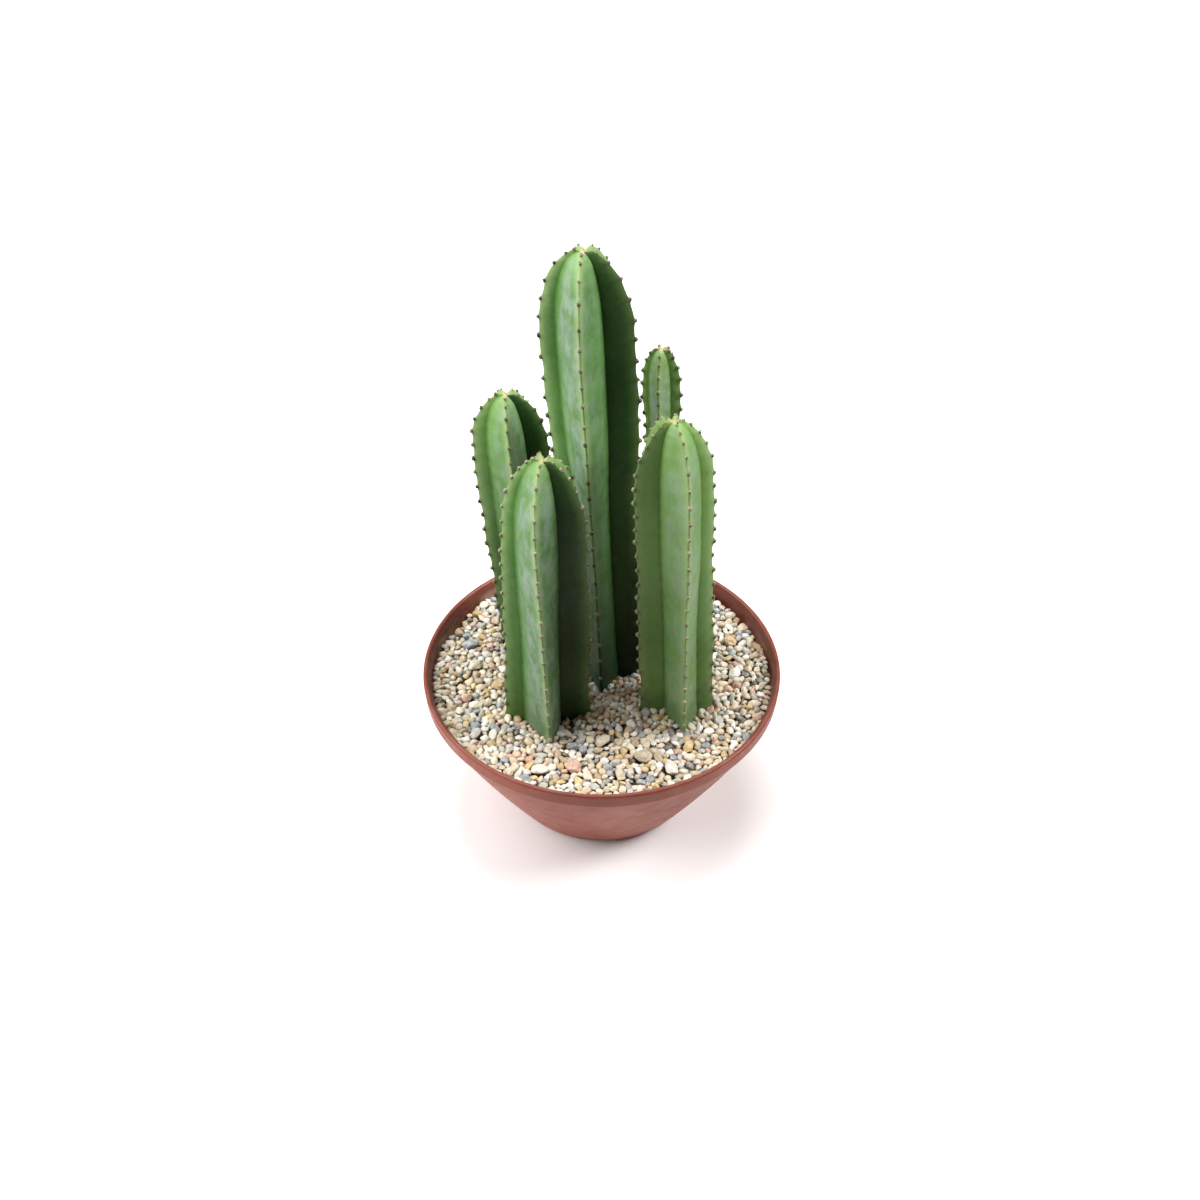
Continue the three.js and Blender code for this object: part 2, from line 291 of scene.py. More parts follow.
def bored(points, faces):
    """The bowl with its drain holes bored through the floor."""
    blank = bpy.data.meshes.new("bowl_blank")
    blank.from_pydata(points.tolist(), [], faces)
    drills = bmesh.new()
    drill_size = {"radius1": DRAIN_RADIUS, "radius2": DRAIN_RADIUS, "depth": 4 * FLOOR_TOP}
    for hole in range(DRAIN_COUNT + 1):
        turn = 2 * math.pi * hole / DRAIN_COUNT
        circle = DRAIN_CIRCLE if hole < DRAIN_COUNT else 0
        made = bmesh.ops.create_cone(drills, cap_ends=True, segments=32, **drill_size)
        spot = (circle * math.cos(turn), circle * math.sin(turn), 0)
        bmesh.ops.translate(drills, verts=made["verts"], vec=spot)
    drill_mesh = bpy.data.meshes.new("drills")
    drills.to_mesh(drill_mesh)
    drills.free()
    bowl = bpy.data.objects.new("bowl_blank", blank)
    drill = bpy.data.objects.new("drills", drill_mesh)
    for thing in (bowl, drill):
        scene.collection.objects.link(thing)
    cut = bowl.modifiers.new("bore", "BOOLEAN")
    cut.object = drill
    cut.operation = "DIFFERENCE"
    mesh = bowl.evaluated_get(bpy.context.evaluated_depsgraph_get()).to_mesh()
    spots = [vertex.co[:] for vertex in mesh.vertices]
    corners = [face.vertices[:] for face in mesh.polygons]
    for thing in (bowl, drill):
        bpy.data.objects.remove(thing)
    return spots, corners


# Dust that settles in patches on whatever faces up.
dust, given, result = new_group(
    "settled dust",
    [
        ("Colour", "Color", (0.5, 0.5, 0.5, 1)),
        ("Dust Colour", "Color", (0.6, 0.55, 0.48, 1)),
        ("Amount", "Float", 0.3),
        ("Patch Size", "Float", 0.02),
    ],
    [("Colour", "Color"), ("Mask", "Float")],
)
upwards = add(dust, "SeparateXYZ", {0: add(dust, "NewGeometry").outputs["Normal"]}).outputs[2]
patch_scale = sums(dust, "DIVIDE", 1.0, given["Patch Size"])
patch_place = add(dust, "TexCoord").outputs["Object"]
patch_noise = add(dust, "TexNoise", {"Vector": patch_place, "Scale": patch_scale, "Detail": 5.0})
patches = between(dust, patch_noise.outputs[0], 0.35, 0.7)
lying = between(dust, upwards, 0.0, 0.95, 0.15, 1.0)
dusted = times(dust, times(dust, patches, lying), given["Amount"], True)
wire(dust, result["Colour"], blend(dust, dusted, given["Colour"], given["Dust Colour"]))
wire(dust, result["Mask"], dusted)

# Fine grain: a rough relief, with scattered specks of another colour.
grain, given, result = new_group(
    "fine grain",
    [
        ("Colour", "Color", (0.5, 0.5, 0.5, 1)),
        ("Speck Colour", "Color", (0.1, 0.1, 0.1, 1)),
        ("Speck Amount", "Float", 0.3),
        ("Size", "Float", 0.001),
    ],
    [("Colour", "Color"), ("Height", "Float")],
)
grain_scale = sums(grain, "DIVIDE", 1.0, given["Size"])
grain_place = add(grain, "TexCoord").outputs["Object"]
coarse = add(grain, "TexNoise", {"Vector": grain_place, "Scale": grain_scale, "Detail": 4.0})
cells = {"Vector": grain_place, "Scale": grain_scale, "Randomness": 1.0}
specks = add(grain, "TexVoronoi", cells, feature="F1")
speck_tone = add(grain, "SeparateColor", {0: specks.outputs["Color"]}).outputs[0]
speck_core = between(grain, specks.outputs["Distance"], 0.28, 0.5, 1.0, 0.0)
speck_mask = times(grain, speck_core, between(grain, speck_tone, 0.55, 0.95))
speck_mask = times(grain, speck_mask, given["Speck Amount"], True)
wire(grain, result["Colour"], blend(grain, speck_mask, given["Colour"], given["Speck Colour"]))
wire(grain, result["Height"], minus(grain, coarse.outputs[0], speck_mask))


def dust_over(tree, base, dust_colour, amount, patch):
    """Dust on a colour, in patches about one size across, in metres."""
    inputs = {"Colour": base, "Dust Colour": dust_colour, "Amount": amount, "Patch Size": patch}
    return add(tree, "Group", inputs, node_tree=dust).outputs


def grainy(tree, base, speck_colour, amount, size):
    """Fine grain on a colour, with specks about one size across, in metres."""
    inputs = {"Colour": base, "Speck Colour": speck_colour, "Speck Amount": amount, "Size": size}
    return add(tree, "Group", inputs, node_tree=grain).outputs


plastic, tree, surface = new_finish("clay-red plastic")
surface.inputs["Specular IOR Level"].default_value = 0.3
height_up = add(tree, "SeparateXYZ", {0: add(tree, "TexCoord").outputs["Object"]}).outputs[2]
mottle = patchy(tree, 0.05, detail=4.0)
body = blend(tree, mottle, "8c4030", "9d4e3c")
faded = patchy(tree, 0.03, 0.5, 0.75, detail=6.0, stretch=(1, 1, 0.35))
body = blend(tree, times(tree, faded, 0.3), body, "ab6a56")
scuffed = patchy(tree, 0.006, 0.6, 0.72, detail=8.0, stretch=(1, 1, 0.16), roughness=0.7)
scuffed = times(tree, scuffed, 0.3)
body = blend(tree, scuffed, body, "c08d7e")
# A chalky tide line that watering leaves on the wall just above the gravel
tide_wave = times(tree, clouds(tree, 0.018), 0.006)
tide_height = minus(tree, height_up, tide_wave)
tide = between(tree, tide_height, BAND_BOTTOM - 0.001, BAND_BOTTOM + 0.004, 0.5, 0.0)
facing = add(tree, "NewGeometry").outputs["Normal"]
plant_side = add(tree, "VectorMath", operation="DOT_PRODUCT")
wire(tree, plant_side.inputs[0], facing)
wire(tree, plant_side.inputs[1], add(tree, "TexCoord").outputs["Object"])
faces_in = between(tree, plant_side.outputs["Value"], -0.02, -0.06)
facing_up = add(tree, "SeparateXYZ", {0: facing}).outputs[2]
# Painted shade: the bowl's inside faces, and more gently its upward faces, are darkened towards a deep
# brown.
stain_and_painted_shade = times(tree, faces_in, 0.72)
stain_and_painted_shade = sums(tree, "MAXIMUM", stain_and_painted_shade, between(tree, facing_up, 0.1, 0.7, 0.0, 0.55))
body = blend(tree, stain_and_painted_shade, body, "4f2418")
tide = times(tree, times(tree, tide, faces_in), between(tree, mottle, 0, 1))
body = blend(tree, tide, body, "b59c8a")
grained = grainy(tree, body, "6b2c22", 0.35, 0.0016)
dusty = dust_over(tree, grained["Colour"], "b8968a", 0.1, 0.014)
gloss = patchy(tree, 0.012, 0.3, 0.75, 0.36, 0.5, detail=6.0)
gloss = plus(tree, gloss, times(tree, dusty["Mask"], 0.5), True)
wire(tree, surface.inputs["Roughness"], plus(tree, gloss, times(tree, scuffed, 0.4)))
dress(tree, surface, dusty["Colour"], grained["Height"], 0.00012, 0.5)

bowl_points, bowl_faces = bored(*lathe(bowl_profile(), POT_STEPS))
make_piece("bowl", bowl_points, bowl_faces, plastic, "pot_plastic", "pot_bowl")


# Potting soil
# A dark peaty mix with bark crumbs and white perlite.  It fills the bowl under the gravel and
# stays as the CAD node, because it only shows through the drain holes.
soil_finish, tree, surface = new_finish("potting soil", roughness=0.95)
crumbs = patchy(tree, 0.004, detail=6.0)
peat = blend(tree, crumbs, "1c140e", "4a3526")
bark = times(tree, patchy(tree, 0.009, 0.6, 0.7, stretch=(1, 1, 3)), 0.8)
peat = blend(tree, bark, peat, "6b4a30")
grained = grainy(tree, peat, "d8d4c8", 0.9, 0.003)
dress(tree, surface, grained["Colour"], grained["Height"], 0.0015)
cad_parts["potting_soil"].data.materials.clear()
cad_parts["potting_soil"].data.materials.append(soil_finish)


# Stems
# Columnar cactus stems with five broad ribs, sharp pale crests and V-shaped furrows.  Waxy green
# skin with a pale chalky bloom, partly painted highlight on the flanks that face the lamps, painted
# shade in deep green in the furrows, at the foot and where its neighbours shade it, and a paler
# green painted as light on some stems, bears felted cushions in a row along each crest, and tan
# new growth around a sunken tip.
RIB_COUNT = 5
RIB_POINTS = 6
CAD_LEVEL_GAP = 0.0002
CAD_OUTLINE_REACH = 0.001
CAD_OUTLINE_STEP = 0.02
GRAVEL_LEVEL = 0.101
FLANK_BULGE = 0.045

# Fineness of the skin: its rings, and the lines of points from a crest down one flank
RING_STEP = 0.00125
ROOT_STEP = 0.004
ROOT_DEPTH = 0.008
LAST_RING = 0.0006
HALF_RIB = np.array([0, 0.02, 0.045, 0.08, 0.13, 0.2, 0.3, 0.42, 0.55, 0.68, 0.8, 0.89, 0.95])

# Crests, furrows and cushions
CREST_ROUND = 0.0045
CREST_BLUNT = 0.52
CUSHION_BLUNT = 0.35
VALLEY_ROUND = 0.0012
VALLEY_FILL = 0.4
CUSHION_SPACING = {"front": 0.0118, "back": 0.0115, "tall": 0.015}
CUSHION_SPACING_TIP = 0.005
TIP_CROWDING = 0.05
TIP_BARE = 0.006
TIP_BALD = (0.006, 0.036)
BURIED_CUSHIONS = 0.004
CUSHION_LIFT = 0.0022
CUSHION_LENGTH = 0.0029
CUSHION_SQUARENESS = 2.6
CUSHION_REACH = 0.0031
FLANK_PUFF = 0.0001
PUFF_SLANT = 1.8
CREST_WANDER = 0.0005
CREST_WAVES = [(0.019, 1.0), (0.0083, 0.7), (0.0047, 0.5)]

# The tip: a ring of humps between two radii, round a dip that fades out by its own
YOUNG_CREST = (0.001, 0.012)
TIP_HUMP = 0.0006
HUMP_INSIDE = (0.001, 0.006)
HUMP_OUTSIDE = (0.01, 0.02)
TIP_DIP = 0.0016
DIP_REACH = (0.001, 0.007)
DIP_HEIGHT = 0.02

# For each stem: bloom and painted highlight left on the front rib's left and right flanks, painted
# shade in deep green on the rib to the right of that one and on the foot, and how much paler green
# is painted over the whole stem as light
STEMS = {
    "stem_tall": {"bloom_and_highlight": (1.0, 0.45), "shaded": 0.55, "foot": 0.95, "young": 0.0},
    "stem_front_left": {"bloom_and_highlight": (0.95, 0.85), "shaded": 0.75, "foot": 0.2, "young": 0.0},
    "stem_front_right": {"bloom_and_highlight": (0.65, 0.65), "shaded": 0.0, "foot": 0.25, "young": 0.5},
    "stem_back_left": {"bloom_and_highlight": (0.6, 1.5), "shaded": 0.85, "foot": 0.5, "young": 0.15},
    "stem_back_right": {"bloom_and_highlight": (1.5, 1.3), "shaded": 0.0, "foot": 0.5, "young": 0.5},
}
BLOOM_ELSEWHERE = 0.2
SHADE_SPAN = (-0.3, 0.4)
SHADE_BEHIND = 0.4
FOOT_SHADE_HEIGHT = 0.19


def wrapped(angle):
    return (angle + math.pi) % (2 * math.pi) - math.pi


def ease(value, low, high):
    share = np.clip((value - low) / (high - low), 0, 1)
    return share * share * (3 - 2 * share)


def read_stem(name):
    """Level by level: crest radius, height, crest azimuths, and each furrow's turn and depth."""
    spots = np.array([vertex.co[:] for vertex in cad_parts[name].data.vertices])
    spots = spots[np.argsort(spots[:, 2])]
    levels = np.split(spots, np.flatnonzero(np.diff(spots[:, 2]) > CAD_LEVEL_GAP) + 1)
    tip = levels[-1].mean(axis=0)
    low = levels[0]
    foot = low[np.argmin(np.linalg.norm(low[:, :2] - low[:, :2].mean(axis=0), axis=1))]
    lean = (tip - foot)[:2] / (tip[2] - GRAVEL_LEVEL)
    rows = []
    for level in levels[:-1]:
        height = level[:, 2].mean()
        centre = foot[:2] + lean * max(0, height - GRAVEL_LEVEL)
        across, deep = (level[:, :2] - centre).T
        radius = np.hypot(across, deep)
        azimuth = np.arctan2(across, -deep)
        order = np.argsort(azimuth)
        order = order[radius[order] > CAD_OUTLINE_REACH]
        order = order[np.diff(azimuth[order], prepend=-2 * math.pi) > CAD_OUTLINE_STEP]
        radius, azimuth = radius[order], azimuth[order]
        first = np.argmax([radius[k::RIB_POINTS].mean() for k in range(RIB_POINTS)])
        radius, azimuth = np.roll(radius, -first), np.roll(azimuth, -first)
        crests = azimuth[::RIB_POINTS]
        crest = radius[::RIB_POINTS].mean()
        turns = (azimuth[RIB_POINTS // 2 :: RIB_POINTS] - crests) % (2 * math.pi)
        depths = radius[RIB_POINTS // 2 :: RIB_POINTS] / crest
        if rows:
            last = rows[-1][2 : 2 + RIB_COUNT]
            shift = -np.argmin(np.abs(wrapped(crests - last[0])))
            crests, turns, depths = (np.roll(part, shift) for part in (crests, turns, depths))
            crests = last + wrapped(crests - last)
        else:
            crests = crests[0] + (crests - crests[0]) % (2 * math.pi)
        rows.append([crest, height, *crests, *turns, *depths])
    rows.append([0, tip[2], *rows[-1][2:]])
    return np.array(rows), foot, lean


def smooth_through(knots, rows, places):
    """Rows read at any place along a smooth curve through the given rows."""
    slopes = np.gradient(rows, knots, axis=0)
    cell = np.clip(np.searchsorted(knots, places, side="right") - 1, 0, len(knots) - 2)
    width = (knots[cell + 1] - knots[cell])[:, None]
    t = (places - knots[cell])[:, None] / width
    start = (1 + 2 * t) * (1 - t) ** 2 * rows[cell] + t * (1 - t) ** 2 * width * slopes[cell]
    return start + t * t * (3 - 2 * t) * rows[cell + 1] + t * t * (t - 1) * width * slopes[cell + 1]


def cushion_places(rng, ground, end, spacing):
    """Where the cushions sit along one crest, closer together towards the tip."""
    places = []
    place = ground - spacing * rng.random()
    while place < end - TIP_BARE:
        places.append(place)
        crowded = ease(end - place, 0, TIP_CROWDING)
        step = CUSHION_SPACING_TIP + (spacing - CUSHION_SPACING_TIP) * crowded
        place += step * rng.uniform(0.9, 1.1)
    return np.array(places)


def grow_crests(rng, along, ground, end, spacing):
    """Rib by rib: its cushions' places, and each ring's nearness to one, puff and sway."""
    rib_places = [cushion_places(rng, ground, end, spacing) for _ in range(RIB_COUNT)]
    phases = rng.uniform(0, 2 * math.pi, (RIB_COUNT, len(CREST_WAVES)))
    crests = []
    for places, phase in zip(rib_places, phases):
        gaps = (along[:, None] - places[None, :]) / CUSHION_LENGTH
        near = ease(end - along, *TIP_BALD) * np.exp(-np.abs(gaps) ** CUSHION_SQUARENESS).sum(axis=1)
        puff = 2 * math.pi * np.interp(along, places, np.arange(len(places)))
        waves = [part * np.sin(along / size + p) for (size, part), p in zip(CREST_WAVES, phase)]
        crests.append((places, near, puff, CREST_WANDER * sum(waves)))
    return crests


def flank_line(share, half, crest, valley, near, puff, sway, young):
    """Points up a flank, a share of the way from crest to furrow.

    Gives their radius, turn off the crest, distance from it, and nearness to a cushion.
    """
    turn = share * half
    flat = crest * np.sin(turn) + valley * np.sin(half - turn)
    radius = crest * valley * np.sin(half) / np.maximum(flat, 1e-9)
    radius = radius + FLANK_BULGE * crest * math.sin(math.pi * share)
    off_crest = np.hypot(radius * np.sin(turn), crest - radius * np.cos(turn))
    off_valley = np.hypot(radius * np.sin(half - turn), radius * np.cos(half - turn) - valley)
    bluntness = CREST_BLUNT + CUSHION_BLUNT * near
    blunt = bluntness * (np.hypot(off_crest, CREST_ROUND) - off_crest)
    fill = VALLEY_FILL * (np.hypot(off_valley, VALLEY_ROUND) - off_valley)
    reach = np.exp(-((off_crest / CUSHION_REACH) ** 2))
    lift = CUSHION_LIFT * near * reach
    puffed = FLANK_PUFF * np.cos(puff - PUFF_SLANT * share) * math.sin(math.pi * share)
    radius = radius + young * (lift + fill - blunt + puffed) + young * sway * (1 - share)
    return radius, turn, off_crest, near * reach


def flank_tints(name, place, side, share):
    """Bloom and painted highlight, and painted shade in deep green, on one side of a rib counted from
    the front.
    """
    if place == 0:
        return STEMS[name]["bloom_and_highlight"][side == 1], 0
    if place == 1:
        shaded = ease(share, *SHADE_SPAN) if side == -1 else SHADE_BEHIND
        return BLOOM_ELSEWHERE, STEMS[name]["shaded"] * shaded
    return BLOOM_ELSEWHERE, 0


def tip_rise(shares, crest, radius, height):
    """How far the skin rises in a ring of humps round the tip, and dips in the tip's middle."""
    humped = ease(crest, *HUMP_INSIDE) - ease(crest, *HUMP_OUTSIDE)
    sunk = (1 - ease(radius, *DIP_REACH)) * ease(height, height[-1] - DIP_HEIGHT, height[-1])[:, None]
    return TIP_HUMP * np.cos(math.pi * shares) * humped[:, None] - TIP_DIP * sunk


def cushion_seats(points, azimuth, along, ground, end, crests):
    """For each cushion above the gravel: its seat, the ways out of and up the crest, and its
    distance from the tip, in millimetres."""
    seats = []
    for rib, (places, _, _, _) in enumerate(crests):
        column = 2 * len(HALF_RIB) * rib
        for place in places[places > ground - BURIED_CUSHIONS]:
            ring = int(np.clip(np.argmin(np.abs(along - place)), 2, len(along) - 3))
            seat = points[ring, column]
            grow = points[ring + 2, column] - points[ring - 2, column]
            grow = grow / np.linalg.norm(grow)
            turn = azimuth[ring, column]
            out = np.array([math.sin(turn), -math.cos(turn), 0])
            out = out - out.dot(grow) * grow
            seats.append((seat, out / np.linalg.norm(out), grow, (end - place) * 1000))
    return seats


def grow_stem(name, rng):
    """The stem's skin as rings of points, with what its finish reads and where its cushions sit."""
    rows, foot, lean = read_stem(name)
    knots = np.concatenate([[0], np.cumsum(np.linalg.norm(np.diff(rows[:, :2], axis=0), axis=1))])
    end = knots[-1]
    ground = np.interp(GRAVEL_LEVEL, rows[:, 1], knots)
    buried = np.interp(GRAVEL_LEVEL - ROOT_DEPTH, rows[:, 1], knots)
    along = np.concatenate([np.arange(0, buried, ROOT_STEP), np.arange(buried, end, RING_STEP)])
    along = along[along < end - LAST_RING]
    level = smooth_through(knots, rows, along)
    crest, height = level[:, 0], level[:, 1]
    azimuths, turns, depths = np.split(level[:, 2:], 3, axis=1)
    azimuths = np.hstack([azimuths, azimuths[:, :1] + 2 * math.pi])
    front = np.argmin(np.abs(wrapped(azimuths[0, :RIB_COUNT])))
    young = ease(crest, *YOUNG_CREST)
    crests = grow_crests(rng, along, ground, end, CUSHION_SPACING[name.split("_")[1]])

    lines, tints = [], []
    for rib in range(RIB_COUNT):
        gap = azimuths[:, rib + 1] - azimuths[:, rib]
        valley = crest * depths[:, rib]
        for owner, side in ((rib, 1), ((rib + 1) % RIB_COUNT, -1)):
            half = turns[:, rib] if side == 1 else gap - turns[:, rib]
            steps = HALF_RIB if side == 1 else np.concatenate([[1], HALF_RIB[:0:-1]])
            for share in steps:
                line = flank_line(share, half, crest, valley, *crests[owner][1:], young)
                radius, turn, off_crest, near = line
                azimuth = azimuths[:, rib] + turn if side == 1 else azimuths[:, rib + 1] - turn
                lines.append((radius, azimuth, np.full_like(radius, share), off_crest, near))
                tints.append(flank_tints(name, (owner - front) % RIB_COUNT, side, share))
    radius, azimuth, shares, off_crest, near = np.array(lines).transpose(1, 2, 0)
    bloom_and_highlight, shaded = np.array(tints).T
    up = height[:, None] + tip_rise(shares, crest, radius, height)
    climb = np.maximum(0, up - GRAVEL_LEVEL)
    across = foot[0] + lean[0] * climb + radius * np.sin(azimuth)
    deep = foot[1] + lean[1] * climb - radius * np.cos(azimuth)
    points = np.stack([across, deep, up], axis=-1)
    foot_shade = STEMS[name]["foot"] * ease(climb, FOOT_SHADE_HEIGHT, 0)
    readings = {
        "rib_share": shares,
        "off_crest": off_crest * 1000,
        "cushion": near,
        "bloom_and_highlight_kept": np.broadcast_to(bloom_and_highlight, shares.shape),
        "painted_light_green": np.full_like(shares, STEMS[name]["young"]),
        "painted_shade_green": np.maximum(shaded, foot_shade),
        "above_gravel": (up - GRAVEL_LEVEL) * 1000,
        "below_tip": np.broadcast_to((end - along)[:, None], shares.shape) * 1000,
    }
    return points, readings, cushion_seats(points, azimuth, along, ground, end, crests)


def reading(tree, name):
    return add(tree, "Attribute", attribute_name=name).outputs["Fac"]


def skin_finish():
    """Waxy green skin: streaked flanks, pale crests, brown foot, tan tip, painted highlight and
    painted shade.
    """
    finish, tree, surface = new_finish("waxy green skin", coat=0.03)
    surface.inputs["Specular IOR Level"].default_value = 0.14
    surface.inputs["Coat Roughness"].default_value = 0.3
    surface.inputs["Sheen Weight"].default_value = 0.04
    surface.inputs["Sheen Roughness"].default_value = 0.4
    surface.inputs["Sheen Tint"].default_value = colour("d8e4e2")
    share = reading(tree, "rib_share")
    off_crest = reading(tree, "off_crest")
    above = reading(tree, "above_gravel")
    below_tip = reading(tree, "below_tip")
    cushion = reading(tree, "cushion")

    broad = patchy(tree, 0.045)
    flesh = blend(tree, broad, "4b7831", "5f9140")
    streaked = patchy(tree, 0.006, 0.42, 0.72, detail=5.0, stretch=(1, 1, 0.12))
    flesh = blend(tree, times(tree, streaked, 0.5), flesh, "6c9850")
    folds = clouds(tree, 0.0042, detail=2.0, stretch=(0.12, 0.12, 1), distortion=0.4)
    folded = times(tree, between(tree, folds, 0.5, 0.7), 0.16)
    flesh = blend(tree, folded, flesh, "3a5a2b")
    # Bloom, partly painted highlight: a pale blue-grey, strongest on the front rib's flanks that face
    # the lamps.
    bloom_and_highlight = clouds(tree, 0.009, detail=8.0, stretch=(1, 1, 0.6), roughness=0.68)
    bloom_and_highlight = between(tree, bloom_and_highlight, 0.36, 0.64, 0.12, 0.68)
    bloom_and_highlight = times(tree, bloom_and_highlight, reading(tree, "bloom_and_highlight_kept"))
    bloom_and_highlight = times(tree, bloom_and_highlight, between(tree, share, 1.15, 0.3))
    # Painted light: a paler green over the whole of the stems that stand in brighter light.
    flesh = blend(tree, reading(tree, "painted_light_green"), flesh, "8fb45e")
    flesh = blend(tree, bloom_and_highlight, flesh, "a5b3ab")
    # Painted shade: the furrows are darkened towards a deep green.
    valley = times(tree, between(tree, share, 0.78, 1.0), 0.38)
    flesh = blend(tree, valley, flesh, "35562a")

    crest_edge = times(tree, clouds(tree, 0.004, detail=4.0), 1.6)
    crest_line = between(tree, minus(tree, off_crest, crest_edge), -0.6, 8.5, 0.66, 0.0)
    flesh = blend(tree, crest_line, flesh, "a6bf80")
    scars = patchy(tree, 0.0028, 0.63, 0.72, 0, 0.7, detail=6.0, roughness=0.65)
    scars = times(tree, scars, between(tree, off_crest, 3.5, 0.5))
    flesh = blend(tree, scars, flesh, "6f5f42")

    foot_noise = times(tree, clouds(tree, 0.009, detail=6.0), 34.0)
    corky = between(tree, minus(tree, above, foot_noise), -12.0, 14.0, 0.45, 0.0)
    flesh = blend(tree, corky, flesh, "434e2a")
    young = between(tree, below_tip, 6.0, 46.0, 0.5, 0.0)
    flesh = blend(tree, young, flesh, "6c9148")
    tan_edge = plus(tree, below_tip, times(tree, off_crest, 0.5))
    tan_tip = between(tree, plus(tree, tan_edge, crest_edge), 2.5, 9.0, 0.75, 0.0)
    flesh = blend(tree, tan_tip, flesh, "b7977f")
    stain_and_painted_shade = between(tree, cushion, 0.5, 1.0, 0.0, 0.3)
    flesh = blend(tree, stain_and_painted_shade, flesh, "46502c")
    grained = grainy(tree, flesh, "7fa35f", 0.3, 0.0011)
    dusty = dust_over(tree, grained["Colour"], "b9b3a0", 0.06, 0.02)
    # Painted shade: the rib beside the front one and the foot are darkened towards a deep green.
    skin = blend(tree, reading(tree, "painted_shade_green"), dusty["Colour"], "14321a")
    gloss = patchy(tree, 0.011, to_low=0.34, to_high=0.46, detail=5.0)
    gloss = plus(tree, gloss, times(tree, crest_line, 0.18))
    gloss = plus(tree, gloss, times(tree, corky, 0.25), True)
    wire(tree, surface.inputs["Roughness"], gloss)
    ridges = plus(tree, times(tree, folds, 0.7), grained["Height"])
    ridges = plus(tree, ridges, times(tree, scars, 0.8))
    dress(tree, surface, skin, ridges, 0.00022, 0.6)
    return finish


def ball(subdivisions):
    """Points and faces of a unit ball of triangles."""
    shape = bmesh.new()
    bmesh.ops.create_icosphere(shape, subdivisions=subdivisions, radius=1)
    points = np.array([vertex.co[:] for vertex in shape.verts])
    faces = np.array([[vertex.index for vertex in face.verts] for face in shape.faces])
    shape.free()
    return points, faces


def heap(parts):
    """Many small shapes of points and faces gathered into one."""
    counts = np.cumsum([0] + [len(points) for points, _ in parts])
    points = np.vstack([points for points, _ in parts])
    faces = np.vstack([faces + start for (_, faces), start in zip(parts, counts)])
    return points, faces


rng = np.random.default_rng(11)
skin_green = skin_finish()
stem_seats, stem_feet = {}, {}
for stem in STEMS:
    points, readings, stem_seats[stem] = grow_stem(stem, rng)
    root = [*points[0, :, :2].mean(axis=0), points[0, 0, 2]]
    top = points[-1].mean(axis=0)
    spots = np.vstack([points.reshape(-1, 3), root, top])
    for name, values in readings.items():
        readings[name] = np.array([*values.ravel(), values[0].mean(), values[-1].mean()])
    faces = tube_faces(*points.shape[:2])
    make_piece(stem + "_skin", spots, faces, skin_green, "stem_flesh", stem, readings=readings)
    ring = np.argmin(np.abs(points[:, 0, 2] - GRAVEL_LEVEL))
    stem_feet[stem] = points[ring, :, :2]


# Cushions and spines
# Each cushion is a small oval pad of felt, seated on the crest, from which three to six short
# stiff spines fan out.  The felt is pale on the younger front stems and brown on the old ones,
# and the cushions crowd together towards the tips.
CUSHION_HALF_SIZE = np.array([0.0014, 0.0017, 0.0012])
CUSHION_VARIETY = (0.8, 1.15)
FELT_LUMPS = (0.86, 1.1)
FRESH_SPAN = (4, 40)
FRESH_SHRINK = 0.25
CUSHION_AGES = {"front": (0.2, 0.65), "back": (0.35, 1.0), "tall": (0.5, 1.0)}
SPINE_COUNT = (3, 7)
SPINE_LENGTH = (0.0014, 0.0023)
SPINE_THICKNESS = 0.00042
SPINE_SPREAD = (20, 68)
SPINE_DROOP = 0.00018
SPINE_LIFT = 0.0004
SPINE_SIDES = 5


def felt_finish():
    """Matted felt, from nearly white to brown, different on each cushion."""
    finish, tree, surface = new_finish("cushion felt", roughness=0.95)
    surface.inputs["Sheen Weight"].default_value = 0.4
    surface.inputs["Sheen Roughness"].default_value = 0.5
    matted = patchy(tree, 0.0012, detail=5.0)
    felt = blend(tree, reading(tree, "age"), "c3bb94", "3c2e22")
    felt = blend(tree, times(tree, matted, 0.35), felt, "3a2b20")
    grained = grainy(tree, felt, "d9cfba", 0.5, 0.0004)
    dress(tree, surface, grained["Colour"], grained["Height"], 0.0003)
    return finish


def spine_finish():
    """Horny spines, brown at the foot and nearly black towards the point."""
    finish, tree, surface = new_finish("dark spine")
    length = reading(tree, "spine_length")
    rings = patchy(tree, 0.0006, 0.35, 0.65, 0.0, 0.35, detail=2.0)
    horn = blend(tree, length, "6b4a30", "1d1410")
    horn = blend(tree, rings, horn, "8a6a4a")
    wire(tree, surface.inputs["Base Color"], horn)
    wire(tree, surface.inputs["Roughness"], between(tree, length, 0.0, 1.0, 0.6, 0.38))
    return finish


def spine_shape(seat, way, length, droop):
    """One tapered spine, slightly bent, as points and faces."""
    side = np.cross(way, [0, 0, 1] if abs(way[2]) < 0.9 else [1, 0, 0])
    side = side / np.linalg.norm(side)
    other = np.cross(way, side)
    turns = np.arange(SPINE_SIDES) * 2 * math.pi / SPINE_SIDES
    rings = []
    for share, width in ((-0.1, 1.0), (0.35, 0.75), (0.7, 0.45)):
        middle = seat + way * length * share + droop * share * share
        circle = np.outer(np.cos(turns), side) + np.outer(np.sin(turns), other)
        rings.append(middle + circle * width * SPINE_THICKNESS / 2)
    root, point = seat - way * length * 0.1, seat + way * length + droop
    n = SPINE_SIDES
    faces = []
    for k in range(n):
        after = (k + 1) % n
        for low in (0, n):
            faces.append([low + k, low + after, low + n + after])
            faces.append([low + k, low + n + after, low + n + k])
        faces += [[2 * n + k, 2 * n + after, 3 * n + 1], [after, k, 3 * n]]
    return np.vstack([*rings, root, point]), np.array(faces)


